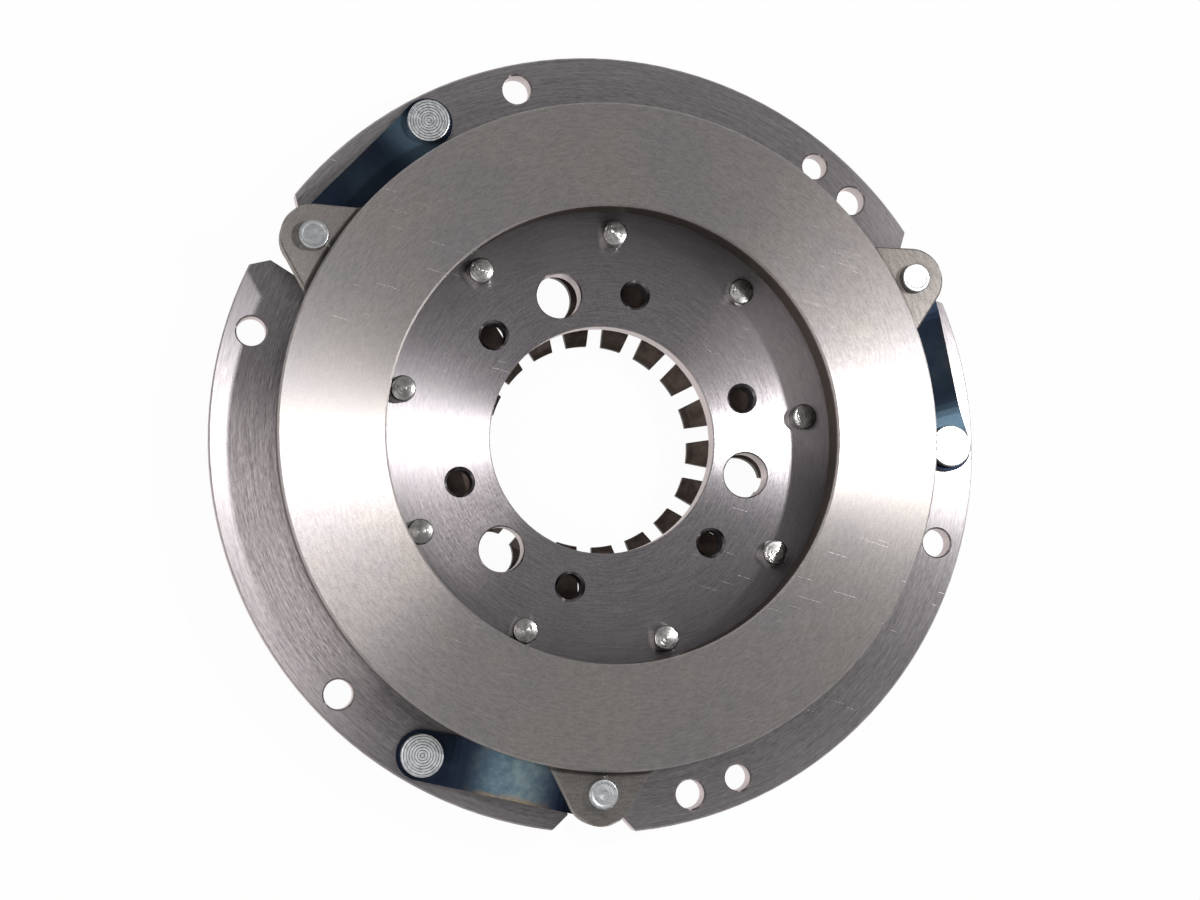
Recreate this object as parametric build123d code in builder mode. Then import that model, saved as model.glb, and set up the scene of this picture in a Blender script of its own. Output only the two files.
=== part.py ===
from build123d import *
import os
from math import atan2, cos, degrees, hypot, radians, sin, tan

# A diaphragm-spring clutch cover assembly for a pot flywheel, 200 mm class. A flat steel cover
# carries the diaphragm spring behind it and, in front of it, a pressure plate on spring straps.
# Millimetres. The origin is the centre of the cover's mounting face, and +Z points to the flywheel.

# Fastening to the flywheel
bolt_circle_r = 113.0
bolt_count = 6
bolt_hole_d = 9.0
dowel_hole_d = 8.0
dowel_angles = (68.1, 308.1)
bolt_hole_break = 0.5
break_angle = 90

# Cover plate
cover_t = 7.0
cover_rim_margin = 8.1
cover_bore_r = 35.5
cover_edge_break = 0.5
bore_edge_break = 0.4
floor_hole_circle_r = 46.9
large_hole_d = 14.0
large_hole_count = 3
large_hole_break = 0.4
small_hole_d = 8.0
small_hole_count = 6
small_hole_break = 0.8

# Rim notches that clear the lug rivets
lug_count = 3
notch_angle = 44.6
notch_half_width = 8.4
notch_reach = 9.6
notch_corner_cut = 5.4

# Diaphragm spring
finger_count = 18
finger_phase = 3.2
slot_width = 4.8
slot_window_d = 10.0
tip_r = 32.4
bend_r = 60.0
bend_round = 30.0
rim_r = 88.0
spring_t = 2.4
spring_edge_break = 0.6
rim_cone_deg = 8.0
finger_cone_deg = 20.5
tool_window_clearance = 0.3
tool_window_offset = 1.0

# Fulcrum rivets and the two wire rings that the spring rocks between
fulcrum_rivet_count = 9
fulcrum_rivet_circle_r = 64.5
fulcrum_shank_d = 7.0
fulcrum_pin_d = 8.0
fulcrum_pin_h = 4.5
fulcrum_crown_h = 0.9
fulcrum_collar_d = 14.0
fulcrum_collar_t = 3.0
fulcrum_wire_d = 4.0
fulcrum_wire_sides = 8
wire_clearance = 0.1
wire_seat = 0.05

# Pressure plate
friction_outer_r = 101.7
friction_inner_r = 69.6
friction_face_z = 21.5
plate_back_z = 12.0
friction_edge_break = 0.6
mass_ring_inner_step = 7.4
mass_ring_outer_step = 6.7
mass_ring_depth = 3.5
mass_ring_draft = 1.5
plate_turn_deg = -0.8

# Lugs
lug_rivet_reach = 6.5
lug_tip_r = 9.8
lug_root_half_w = 16.4
lug_root_overlap = 3.0
lug_face_drop = 3.5
lug_back_z = 11.0
lug_root_fillet = 4.0
lug_step_fillet = 1.4
lug_edge_break = 0.5

# Thrust lands that reach the spring's rim through windows in the cover
land_count = 6
land_inset = 3.0
land_half_w = 3.0
land_span_deg = 34.0
land_seat = 0.3
land_crown_break = 1.8
window_end_clearance_deg = 1.5
window_side_clearance = 2.4

# Straps, each a pack of thin leaves
strap_rivet_inset = 1.0
strap_rivet_angle = 15.74
strap_width = 15.5
leaf_t = 0.7
leaf_gap = 0.05
leaf_count = 3
strap_flat_end = 11.0
strap_bend_r = 22.0
rivet_fit = 0.05

# Strap rivets
cover_rivet_head_d = 13.2
cover_rivet_head_h = 3.3
cover_rivet_shank_d = 8.0
cover_rivet_back_d = 12.0
cover_rivet_back_h = 2.4
lug_rivet_pin_d = 9.0
lug_rivet_pin_h = 3.3
lug_rivet_back_d = 13.0
lug_rivet_back_h = 3.0
rivet_edge_break = 0.4

# Radii that follow from the bolt circle, the friction ring, the floor holes and the spring's rim
cover_outer_r = bolt_circle_r + cover_rim_margin
strap_rivet_circle_r = bolt_circle_r - strap_rivet_inset
lug_rivet_circle_r = friction_outer_r + lug_rivet_reach
mass_ring_inner_r = friction_inner_r + mass_ring_inner_step
mass_ring_outer_r = friction_outer_r - mass_ring_outer_step
land_r = rim_r - land_inset
tool_window_d = large_hole_d + 2 * tool_window_clearance
tool_window_circle_r = floor_hole_circle_r + tool_window_offset

# Angles that follow from the sizes above
lug_angle = notch_angle + plate_turn_deg
lug_pitch = 360.0 / lug_count
land_pitch = 360.0 / land_count
finger_pitch = 360.0 / finger_count
fulcrum_rivet_phase = finger_phase + finger_pitch
small_hole_phase = finger_phase + 180.0 / small_hole_count

# The spring's middle surface: a flat cone at the rim that bends down into the steeper fingers
fulcrum_r = fulcrum_rivet_circle_r + (fulcrum_shank_d + fulcrum_wire_d) / 2 + wire_clearance
wire_seat_v = (fulcrum_wire_d / 2 + wire_seat) / cos(radians(rim_cone_deg))
spring_half_v = spring_t / 2 / cos(radians(rim_cone_deg))
front_wire_z = -cover_t - wire_seat - fulcrum_wire_d / 2
spring_mid_at_fulcrum = front_wire_z - wire_seat_v - spring_half_v
rear_wire_z = spring_mid_at_fulcrum - spring_half_v - wire_seat_v
collar_top_z = rear_wire_z - fulcrum_wire_d / 2 - wire_seat
spring_mid_at_rim = spring_mid_at_fulcrum + (rim_r - fulcrum_r) * tan(radians(rim_cone_deg))
spring_mid_at_bend = spring_mid_at_fulcrum - (fulcrum_r - bend_r) * tan(radians(rim_cone_deg))
tip_mid_r = tip_r + spring_t / 2 * sin(radians(finger_cone_deg))
spring_mid_at_tip = spring_mid_at_bend - (bend_r - tip_mid_r) * tan(radians(finger_cone_deg))

# The lands stop just short of the rim, and the windows clear them all round
spring_top_at_land = (
    spring_mid_at_fulcrum + spring_half_v + (land_r - fulcrum_r) * tan(radians(rim_cone_deg))
)
land_crown_z = spring_top_at_land + land_seat
window_width = 2 * (land_half_w + window_side_clearance)
window_span_deg = land_span_deg + 2 * window_end_clearance_deg

# Heights on the lugs and straps
lug_face_z = friction_face_z - lug_face_drop
leaf_pitch = leaf_t + leaf_gap
pack_t = leaf_count * leaf_pitch - leaf_gap
strap_rise = lug_back_z - pack_t


def polar(radius, angle):
    """A point at a radius and an angle from +X, on the mounting face."""
    return Vector(radius * cos(radians(angle)), radius * sin(radians(angle)), 0)


def beside(radius, height, slope, distance):
    """The profile point that lies square to a slope at a distance, above it when that is positive."""
    return (radius - distance * sin(radians(slope)), height + distance * cos(radians(slope)))


def circles(part, radius, height):
    """The part's circular edges of one radius that lie at one height."""
    round_edges = part.edges().filter_by(GeomType.CIRCLE)
    same_size = round_edges.filter_by(lambda edge: abs(edge.radius - radius) < 0.01)
    return same_size.filter_by(lambda edge: abs(edge.center().Z - height) < 0.01)


def finish(piece, node):
    """Names a finished piece and writes it."""
    piece.part.label = node
    export_step(piece.part, f"parts/{node}.step")


os.makedirs("parts", exist_ok=True)

# Cover plate: a turned and ground disc of steel plate, milled and drilled
cover_back = Plane.XY.offset(-cover_t)
notch_floor_r = lug_rivet_circle_r - notch_reach
notch_length = cover_outer_r - notch_floor_r
notch_throat_r = cover_outer_r - notch_corner_cut
notch_mouth_r = cover_outer_r + notch_corner_cut
notch_mouth_half_w = notch_half_width + 2 * notch_corner_cut
with BuildPart() as cover_plate:
    with BuildSketch(cover_back):
        Circle(cover_outer_r)
        Circle(cover_bore_r, mode=Mode.SUBTRACT)
    extrude(amount=cover_t)
    for face_z in (-cover_t, 0):
        chamfer(circles(cover_plate, cover_outer_r, face_z), cover_edge_break)
        chamfer(circles(cover_plate, cover_bore_r, face_z), bore_edge_break)

    # The notches run in from the rim to a round end, and their mouths are cut back at 45 degrees
    with BuildSketch(cover_back):
        with PolarLocations(notch_floor_r + notch_half_width, lug_count, start_angle=notch_angle):
            Circle(notch_half_width)
            Rectangle(notch_length, 2 * notch_half_width, align=(Align.MIN, Align.CENTER))
        with PolarLocations(notch_throat_r, lug_count, start_angle=notch_angle):
            Polygon(
                (0, -notch_half_width),
                (notch_mouth_r - notch_throat_r, -notch_mouth_half_w),
                (notch_mouth_r - notch_throat_r, notch_mouth_half_w),
                (0, notch_half_width),
                align=None,
            )
    extrude(amount=cover_t, mode=Mode.SUBTRACT)

    # Arc windows for the thrust lands, between the notches and midway
    with BuildSketch(cover_back):
        for land in range(land_count):
            window_start = notch_angle + (land + 0.5) * land_pitch - window_span_deg / 2
            SlotArc(CenterArc((0, 0), land_r, window_start, window_span_deg), window_width)
    extrude(amount=cover_t, mode=Mode.SUBTRACT)

    # Bolt and dowel holes are broken at both faces, the floor holes at the front alone
    back_face = Plane(origin=(0, 0, -cover_t), x_dir=(1, 0, 0), z_dir=(0, 0, -1))
    for face, turn in ((Plane.XY, 1), (back_face, -1)):
        with Locations(face):
            with PolarLocations(bolt_circle_r, bolt_count):
                bolt_mouth_r = bolt_hole_d / 2 + bolt_hole_break
                CounterSinkHole(bolt_hole_d / 2, bolt_mouth_r, cover_t, break_angle)
            for dowel_angle in dowel_angles:
                with PolarLocations(bolt_circle_r, 1, start_angle=turn * dowel_angle):
                    dowel_mouth_r = dowel_hole_d / 2 + bolt_hole_break
                    CounterSinkHole(dowel_hole_d / 2, dowel_mouth_r, cover_t, break_angle)
    with PolarLocations(floor_hole_circle_r, large_hole_count, start_angle=finger_phase):
        CounterSinkHole(large_hole_d / 2, large_hole_d / 2 + large_hole_break, cover_t, break_angle)
    with PolarLocations(floor_hole_circle_r, small_hole_count, start_angle=small_hole_phase):
        CounterSinkHole(small_hole_d / 2, small_hole_d / 2 + small_hole_break, cover_t, break_angle)
    with PolarLocations(fulcrum_rivet_circle_r, fulcrum_rivet_count, start_angle=fulcrum_rivet_phase):
        Hole(fulcrum_shank_d / 2 + rivet_fit, cover_t)
    with PolarLocations(strap_rivet_circle_r, lug_count, start_angle=strap_rivet_angle):
        Hole(cover_rivet_shank_d / 2 + rivet_fit, cover_t)
finish(cover_plate, "cover_plate")

# Lug outline: three rounded lugs faired into the ring's wall
with BuildSketch() as lug_outline:
    for lug in range(lug_count):
        with BuildSketch(mode=Mode.PRIVATE) as one_lug:
            with BuildLine():
                CenterArc((lug_rivet_circle_r, 0), lug_tip_r, 0, 360)
                Line(
                    (friction_outer_r - lug_root_overlap, -lug_root_half_w),
                    (friction_outer_r - lug_root_overlap, lug_root_half_w),
                )
            make_hull()
        add(one_lug.sketch, rotation=lug_angle + lug * lug_pitch)
    Circle(friction_outer_r)
    lug_roots = lug_outline.vertices().filter_by(
        lambda corner: abs(hypot(corner.X, corner.Y) - friction_outer_r) < 0.01
    )
    fillet(lug_roots, lug_root_fillet)
    Circle(friction_inner_r, mode=Mode.SUBTRACT)

# The round that the turning tool leaves at the foot of the step, over the lugs alone
with BuildPart() as step_round:
    with BuildSketch(Plane.XZ):
        with BuildLine():
            Polyline(
                (friction_outer_r, lug_face_z + lug_step_fillet),
                (friction_outer_r - lug_step_fillet, lug_face_z + lug_step_fillet),
                (friction_outer_r - lug_step_fillet, lug_face_z),
                (friction_outer_r + lug_step_fillet, lug_face_z),
            )
            RadiusArc(
                (friction_outer_r + lug_step_fillet, lug_face_z),
                (friction_outer_r, lug_face_z + lug_step_fillet),
                lug_step_fillet,
            )
        make_face()
    revolve(axis=Axis.Z)
    with BuildSketch(Plane.XY.offset(lug_face_z)):
        add(lug_outline.sketch)
        offset(amount=-lug_edge_break)
    extrude(amount=lug_step_fillet, mode=Mode.INTERSECT)

# Pressure plate: a grey iron ring, its back thickened by a drafted mass ring
mass_ring_back_z = plate_back_z - mass_ring_depth
with BuildPart() as pressure_plate:
    with BuildSketch(Plane.XZ):
        Polygon(
            (friction_inner_r, plate_back_z),
            (friction_inner_r, friction_face_z),
            (friction_outer_r, friction_face_z),
            (friction_outer_r, plate_back_z),
            (mass_ring_outer_r, plate_back_z),
            (mass_ring_outer_r - mass_ring_draft, mass_ring_back_z),
            (mass_ring_inner_r + mass_ring_draft, mass_ring_back_z),
            (mass_ring_inner_r, plate_back_z),
            align=None,
        )
    revolve(axis=Axis.Z)
    chamfer(circles(pressure_plate, friction_outer_r, friction_face_z), friction_edge_break)
    chamfer(circles(pressure_plate, friction_inner_r, friction_face_z), friction_edge_break)
    with BuildSketch(Plane.XY.offset(plate_back_z)):
        add(lug_outline.sketch)
    extrude(amount=lug_face_z - lug_edge_break - plate_back_z)

    # The last of the lug's height tapers in at 45 degrees, as the broken edge of its turned face
    with BuildSketch(Plane.XY.offset(lug_face_z - lug_edge_break)):
        add(lug_outline.sketch)
    extrude(amount=lug_edge_break, taper=break_angle / 2)
    add(step_round.part)

    # Machined pads under the lugs, where the straps seat
    with BuildSketch(Plane.XY.offset(lug_back_z)):
        with PolarLocations(lug_rivet_circle_r, lug_count, start_angle=lug_angle):
            Circle(lug_tip_r)
    extrude(amount=plate_back_z - lug_back_z)
    with PolarLocations(lug_rivet_circle_r, lug_count, start_angle=lug_angle):
        Hole(lug_rivet_pin_d / 2 + rivet_fit, friction_face_z)

    # Thrust lands: arcs that stand on the mass ring's back, narrowed to a crown
    with BuildSketch(Plane.XY.offset(land_crown_z)):
        for land in range(land_count):
            land_start = lug_angle + (land + 0.5) * land_pitch - land_span_deg / 2
            SlotArc(CenterArc((0, 0), land_r, land_start, land_span_deg), 2 * land_half_w)
    extrude(amount=plate_back_z - land_crown_z)
    crowns = pressure_plate.edges().filter_by(lambda edge: abs(edge.center().Z - land_crown_z) < 0.01)
    chamfer(crowns, land_crown_break)
finish(pressure_plate, "pressure_plate")

# Diaphragm spring: pressed from one disc, slotted into fingers, each slot ending in a round window
spring_half_t = spring_t / 2
bend_slope = (rim_cone_deg + finger_cone_deg) / 2
bend_half_t = spring_half_t / cos(radians(finger_cone_deg - bend_slope))
with BuildPart() as diaphragm_spring:
    with BuildSketch(Plane.XZ):
        with BuildLine():
            for side in (1, -1):
                FilletPolyline(
                    beside(rim_r, spring_mid_at_rim, rim_cone_deg, side * spring_half_t),
                    beside(bend_r, spring_mid_at_bend, bend_slope, side * bend_half_t),
                    beside(tip_mid_r, spring_mid_at_tip, finger_cone_deg, side * spring_half_t),
                    radius=bend_round + side * spring_half_t,
                )
            Line(
                beside(rim_r, spring_mid_at_rim, rim_cone_deg, spring_half_t),
                beside(rim_r, spring_mid_at_rim, rim_cone_deg, -spring_half_t),
            )
            Line(
                beside(tip_mid_r, spring_mid_at_tip, finger_cone_deg, spring_half_t),
                beside(tip_mid_r, spring_mid_at_tip, finger_cone_deg, -spring_half_t),
            )
        make_face()
    revolve(axis=Axis.Z)
    rim_edges = diaphragm_spring.edges().filter_by(GeomType.CIRCLE).sort_by(lambda edge: edge.radius)
    chamfer(rim_edges[-2:], spring_edge_break)
    with BuildSketch(Plane.XY.offset(-cover_t)):
        with PolarLocations(tip_r - slot_width, finger_count, start_angle=finger_phase):
            slot_length = fulcrum_rivet_circle_r - tip_r + slot_width
            Rectangle(slot_length, slot_width, align=(Align.MIN, Align.CENTER))
        with PolarLocations(fulcrum_rivet_circle_r, finger_count, start_angle=finger_phase):
            Circle(slot_window_d / 2)
        with PolarLocations(tool_window_circle_r, large_hole_count, start_angle=finger_phase):
            Circle(tool_window_d / 2)
    extrude(amount=2 * spring_mid_at_tip, mode=Mode.SUBTRACT)
finish(diaphragm_spring, "diaphragm_spring")

# Wire rings: the front one seats on the cover's back, the rear one on the rivets' collars. The round
# wire is drawn with eight sides, corners on its circle, so that it seats where the real wire does.
for node, wire_z in (("front_fulcrum_ring", front_wire_z), ("rear_fulcrum_ring", rear_wire_z)):
    with BuildPart() as fulcrum_ring:
        with BuildSketch(Plane.XZ):
            with Locations((fulcrum_r, wire_z)):
                RegularPolygon(fulcrum_wire_d / 2, fulcrum_wire_sides)
        revolve(axis=Axis.Z)
    finish(fulcrum_ring, node)

# Fulcrum rivets: a pin head in front, whose crown has a small flat and two tapers, and a wide collar
# behind the rear ring
with BuildPart() as fulcrum_rivet_form:
    with BuildSketch(Plane.XZ):
        Polygon(
            (0, fulcrum_pin_h),
            (fulcrum_pin_d / 6, fulcrum_pin_h),
            (fulcrum_pin_d / 3, fulcrum_pin_h - fulcrum_crown_h / 3),
            (fulcrum_pin_d / 2, fulcrum_pin_h - fulcrum_crown_h),
            (fulcrum_pin_d / 2, 0),
            (fulcrum_shank_d / 2, 0),
            (fulcrum_shank_d / 2, collar_top_z),
            (fulcrum_collar_d / 2, collar_top_z),
            (fulcrum_collar_d / 2, collar_top_z - fulcrum_collar_t),
            (0, collar_top_z - fulcrum_collar_t),
            align=None,
        )
    revolve(axis=Axis.Z)
    collar_back = collar_top_z - fulcrum_collar_t
    chamfer(circles(fulcrum_rivet_form, fulcrum_collar_d / 2, collar_back), rivet_edge_break)
for number in range(fulcrum_rivet_count):
    with BuildPart() as fulcrum_rivet:
        rivet_angle = fulcrum_rivet_phase + number * 360.0 / fulcrum_rivet_count
        with PolarLocations(fulcrum_rivet_circle_r, 1, start_angle=rivet_angle):
            add(fulcrum_rivet_form.part)
    finish(fulcrum_rivet, f"fulcrum_rivet_{number + 1}")

# Straps: the leaf is formed to an S in its own frame, X running from the cover rivet to the lug rivet
cover_end = polar(strap_rivet_circle_r, strap_rivet_angle)
lug_end = polar(lug_rivet_circle_r, lug_angle)
strap_length = (lug_end - cover_end).length
strap_heading = degrees(atan2(lug_end.Y - cover_end.Y, lug_end.X - cover_end.X))
with BuildPart() as leaf_form:
    with BuildSketch(Plane.XZ):
        with BuildLine():
            FilletPolyline(
                (-strap_width / 2, leaf_t / 2),
                (strap_flat_end, leaf_t / 2),
                (strap_length - strap_flat_end, strap_rise + leaf_t / 2),
                (strap_length + strap_width / 2, strap_rise + leaf_t / 2),
                radius=strap_bend_r,
            )
        trace(line_width=leaf_t)
    extrude(amount=strap_width / 2, both=True)
    with BuildSketch(Plane.XY):
        with Locations((strap_length / 2, 0)):
            SlotCenterToCenter(strap_length, strap_width)
    extrude(amount=strap_rise + pack_t, mode=Mode.INTERSECT)
    with Locations((0, 0, leaf_t)):
        Hole(cover_rivet_shank_d / 2 + rivet_fit, leaf_t)
    with Locations((strap_length, 0, strap_rise + leaf_t)):
        Hole(lug_rivet_pin_d / 2 + rivet_fit, leaf_t)
for strap in range(lug_count):
    for leaf in range(leaf_count):
        with BuildPart() as strap_leaf:
            place = cover_end.rotate(Axis.Z, strap * lug_pitch) + Vector(0, 0, leaf * leaf_pitch)
            with Locations(Location(place, (0, 0, strap_heading + strap * lug_pitch))):
                add(leaf_form.part)
        finish(strap_leaf, f"strap_{strap + 1}_leaf_{leaf + 1}")

# Cover strap rivets: a broad turned head on the strap pack, and a formed head on the cover's back
with BuildPart() as cover_rivet_form:
    with BuildSketch(Plane.XZ):
        Polygon(
            (0, pack_t + cover_rivet_head_h),
            (cover_rivet_head_d / 2, pack_t + cover_rivet_head_h),
            (cover_rivet_head_d / 2, pack_t),
            (cover_rivet_shank_d / 2, pack_t),
            (cover_rivet_shank_d / 2, -cover_t),
            (cover_rivet_back_d / 2, -cover_t),
            (cover_rivet_back_d / 2, -cover_t - cover_rivet_back_h),
            (0, -cover_t - cover_rivet_back_h),
            align=None,
        )
    revolve(axis=Axis.Z)
    head_top = circles(cover_rivet_form, cover_rivet_head_d / 2, pack_t + cover_rivet_head_h)
    back_end = circles(cover_rivet_form, cover_rivet_back_d / 2, -cover_t - cover_rivet_back_h)
    chamfer(head_top + back_end, rivet_edge_break)

# Lug rivets: the shank stands up through the lug as a pin, with a formed head under the pack
lug_rivet_top_z = lug_face_z + lug_rivet_pin_h
lug_rivet_back_z = strap_rise - lug_rivet_back_h
with BuildPart() as lug_rivet_form:
    with BuildSketch(Plane.XZ):
        Polygon(
            (0, lug_rivet_top_z),
            (lug_rivet_pin_d / 2, lug_rivet_top_z),
            (lug_rivet_pin_d / 2, strap_rise),
            (lug_rivet_back_d / 2, strap_rise),
            (lug_rivet_back_d / 2, lug_rivet_back_z),
            (0, lug_rivet_back_z),
            align=None,
        )
    revolve(axis=Axis.Z)
    pin_top = circles(lug_rivet_form, lug_rivet_pin_d / 2, lug_rivet_top_z)
    back_end = circles(lug_rivet_form, lug_rivet_back_d / 2, lug_rivet_back_z)
    chamfer(pin_top + back_end, rivet_edge_break)
for number in range(lug_count):
    with BuildPart() as cover_strap_rivet:
        rivet_angle = strap_rivet_angle + number * lug_pitch
        with PolarLocations(strap_rivet_circle_r, 1, start_angle=rivet_angle):
            add(cover_rivet_form.part)
    finish(cover_strap_rivet, f"cover_strap_rivet_{number + 1}")
    with BuildPart() as lug_rivet:
        with PolarLocations(lug_rivet_circle_r, 1, start_angle=lug_angle + number * lug_pitch):
            add(lug_rivet_form.part)
    finish(lug_rivet, f"lug_rivet_{number + 1}")
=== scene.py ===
import bpy
from math import atan2, cos, hypot, pi, radians, sin, tan
from mathutils import Matrix, Vector, geometry


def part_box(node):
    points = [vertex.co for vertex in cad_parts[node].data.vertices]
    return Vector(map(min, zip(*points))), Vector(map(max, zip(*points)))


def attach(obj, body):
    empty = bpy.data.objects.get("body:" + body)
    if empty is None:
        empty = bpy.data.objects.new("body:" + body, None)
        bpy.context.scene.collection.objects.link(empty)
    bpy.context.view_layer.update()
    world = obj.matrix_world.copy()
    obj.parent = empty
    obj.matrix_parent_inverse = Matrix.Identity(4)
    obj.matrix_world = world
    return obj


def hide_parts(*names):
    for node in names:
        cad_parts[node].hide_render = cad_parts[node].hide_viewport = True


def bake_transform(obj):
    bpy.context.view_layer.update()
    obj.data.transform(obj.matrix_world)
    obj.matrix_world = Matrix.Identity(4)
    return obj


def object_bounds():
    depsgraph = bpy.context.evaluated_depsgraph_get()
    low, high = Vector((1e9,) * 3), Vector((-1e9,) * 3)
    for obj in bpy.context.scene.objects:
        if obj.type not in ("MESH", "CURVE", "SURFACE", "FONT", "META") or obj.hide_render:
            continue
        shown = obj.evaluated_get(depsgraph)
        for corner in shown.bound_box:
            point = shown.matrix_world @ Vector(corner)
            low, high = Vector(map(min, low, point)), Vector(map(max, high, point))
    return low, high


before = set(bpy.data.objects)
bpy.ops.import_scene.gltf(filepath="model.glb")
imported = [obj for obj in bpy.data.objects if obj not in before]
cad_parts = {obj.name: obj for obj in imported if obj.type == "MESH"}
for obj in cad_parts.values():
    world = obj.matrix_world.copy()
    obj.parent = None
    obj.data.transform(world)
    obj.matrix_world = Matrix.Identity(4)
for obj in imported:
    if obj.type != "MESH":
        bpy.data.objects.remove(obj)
solids_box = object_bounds()

# The view: straight down on the friction side, leaning a little to the lower left, with a long
# lens close by, so that the right-hand walls of the bore and the holes show.
lens_mm = 68.3
sensor_mm = 36.0
view_distance = 0.7078
view_azimuth = radians(-138.46)
view_elevation = radians(77.53)
view_roll = radians(64.9)
view_aim = Vector((0.0, -0.0034, 0.0))
toward_eye = Vector((
    cos(view_azimuth) * cos(view_elevation),
    sin(view_azimuth) * cos(view_elevation),
    sin(view_elevation),
))
camera_data = bpy.data.cameras.new("bench_camera")
camera_data.lens = lens_mm
camera_data.sensor_width = sensor_mm
camera_data.clip_start = 0.01
camera = bpy.data.objects.new("bench_camera", camera_data)
bpy.context.scene.collection.objects.link(camera)
level_turn = toward_eye.to_track_quat("Z", "Y").to_matrix().to_4x4()
camera.matrix_world = (
    Matrix.Translation(view_aim + toward_eye * view_distance) @ level_turn @ Matrix.Rotation(view_roll, 4, "Z")
)
bpy.context.scene.camera = camera
bpy.context.scene.view_settings.view_transform = "Standard"


# The cover: a disc of steel plate, turned and fine ground on both faces, then milled and drilled.
# The tool's marks run round the axis, so it shines in two opposite sectors and is dark between.
# The walls of its holes are bare and pale, but those of the small floor holes are painted dark as shade.
class Wire:
    """A socket in a tree of nodes. Sums, differences, products and ratios add its Math nodes."""

    def __init__(self, tree, socket):
        self.tree = tree
        self.socket = socket

    def node(self, kind, inputs, settings=None, output=0):
        """Adds a node of any kind: its settings first, then the values or wires of its sockets."""
        made = self.tree.nodes.new(kind)
        for name, value in (settings or {}).items():
            setattr(made, name, value)
        for name, value in inputs.items():
            if isinstance(value, Wire):
                self.tree.links.new(value.socket, made.inputs[name])
            else:
                made.inputs[name].default_value = value
        return Wire(self.tree, made.outputs[output])

    def math(self, operation, other=0.0, first=None):
        """One Math node on this value and another."""
        left = self if first is None else first
        right = other if first is None else self
        return self.node("ShaderNodeMath", {0: left, 1: right}, {"operation": operation})

    def __add__(self, other):
        return self.math("ADD", other)

    def __radd__(self, other):
        return self.math("ADD", other)

    def __sub__(self, other):
        return self.math("SUBTRACT", other)

    def __rsub__(self, other):
        return self.math("SUBTRACT", first=other)

    def __mul__(self, other):
        return self.math("MULTIPLY", other)

    def __rmul__(self, other):
        return self.math("MULTIPLY", other)

    def __truediv__(self, other):
        return self.math("DIVIDE", other)

    def clamped(self):
        """The value held between nought and one."""
        return self.node("ShaderNodeClamp", {0: self})

    def step(self, low, high):
        """Nought below low, one above high, and smooth between."""
        return self.node(
            "ShaderNodeMapRange",
            {"Value": self, "From Min": low, "From Max": high},
            {"interpolation_type": "SMOOTHSTEP"},
        )

    def tint(self, first, second):
        """A colour that goes from the first to the second as this value goes from nought to one."""
        return self.node("ShaderNodeMix", {0: self, 6: first, 7: second}, {"data_type": "RGBA"}, 2)

    def noise(self, scale, detail=2.0, rough=0.5):
        """Fractal noise at this place, about a half on average."""
        values = {"Vector": self, "Scale": scale, "Detail": detail, "Roughness": rough}
        return self.node("ShaderNodeTexNoise", values)


def steel(name, roughness, anisotropic=0.0, metallic=1.0):
    """Starts a metal: returns the material, its shader and the place on the piece as a wire."""
    quarter_turn = 0.25
    metal = bpy.data.materials.new(name)
    metal.use_nodes = True
    shader = metal.node_tree.nodes["Principled BSDF"]
    shader.inputs["Metallic"].default_value = metallic
    shader.inputs["Roughness"].default_value = roughness
    shader.inputs["Anisotropic"].default_value = anisotropic
    shader.inputs["Anisotropic Rotation"].default_value = quarter_turn
    coordinate = metal.node_tree.nodes.new("ShaderNodeTexCoord")
    return metal, shader, Wire(metal.node_tree, coordinate.outputs["Object"])


def feed(shader, name, wire):
    """Leads a wire to one of the shader's sockets."""
    wire.tree.links.new(wire.socket, shader.inputs[name])


def axes(place):
    """The three coordinates of a place, as wires."""
    split = place.node("ShaderNodeSeparateXYZ", {0: place}).socket.node
    return [Wire(place.tree, coordinate) for coordinate in split.outputs]


def around_axis(place, radial, around, shift=0.0):
    """A place for patterns that run round the axis, with no seam: fine in radius, long in angle."""
    x, y, z = axes(place)
    radius = (x * x + y * y).math("SQRT")
    return place.node(
        "ShaderNodeCombineXYZ",
        {0: radius * radial + z * radial + shift, 1: x / radius * around, 2: y / radius * around},
    )


def leaning(place, lean):
    """The surface's normal, tipped along the radius by a slope, as the fine rings of a tool tip it."""
    x, y, _ = axes(place)
    never_nought = 1e-9
    share = lean / (x * x + y * y + never_nought).math("SQRT")
    outward = place.node("ShaderNodeCombineXYZ", {0: x * share, 1: y * share})
    normal = Wire(place.tree, place.tree.nodes.new("ShaderNodeNewGeometry").outputs["Normal"])
    tipped = place.node("ShaderNodeVectorMath", {0: normal, 1: outward}, {"operation": "ADD"})
    return place.node("ShaderNodeVectorMath", {0: tipped}, {"operation": "NORMALIZE"})


def grooves(shader, height, depth, normal=None):
    """Relief on a surface, in metres from its lowest to its highest."""
    values = {"Height": height, "Distance": depth, "Strength": 1.0}
    if normal is not None:
        values["Normal"] = normal
    feed(shader, "Normal", height.node("ShaderNodeBump", values))


def scratches(place, turn, length, rarity, width=0.00025):
    """Thin, scattered straight scratches that run at one angle: one on a scratch, nought beside it."""
    turned = place.node("ShaderNodeMapping", {
        "Vector": place, "Rotation": (0, 0, radians(turn)), "Scale": (1.0 / length, 1.0 / width, 40.0)})
    return turned.noise(scale=1.0, detail=0.0).step(rarity, rarity + 0.03)


def wall_share(place):
    """How far the surface stands upright: nought on level faces, one on the walls of holes and rims."""
    normal = Wire(place.tree, place.tree.nodes.new("ShaderNodeTexCoord").outputs["Normal"])
    _, _, level = axes(normal)
    return 1.0 - level.math("ABSOLUTE").step(0.3, 0.9)


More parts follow.
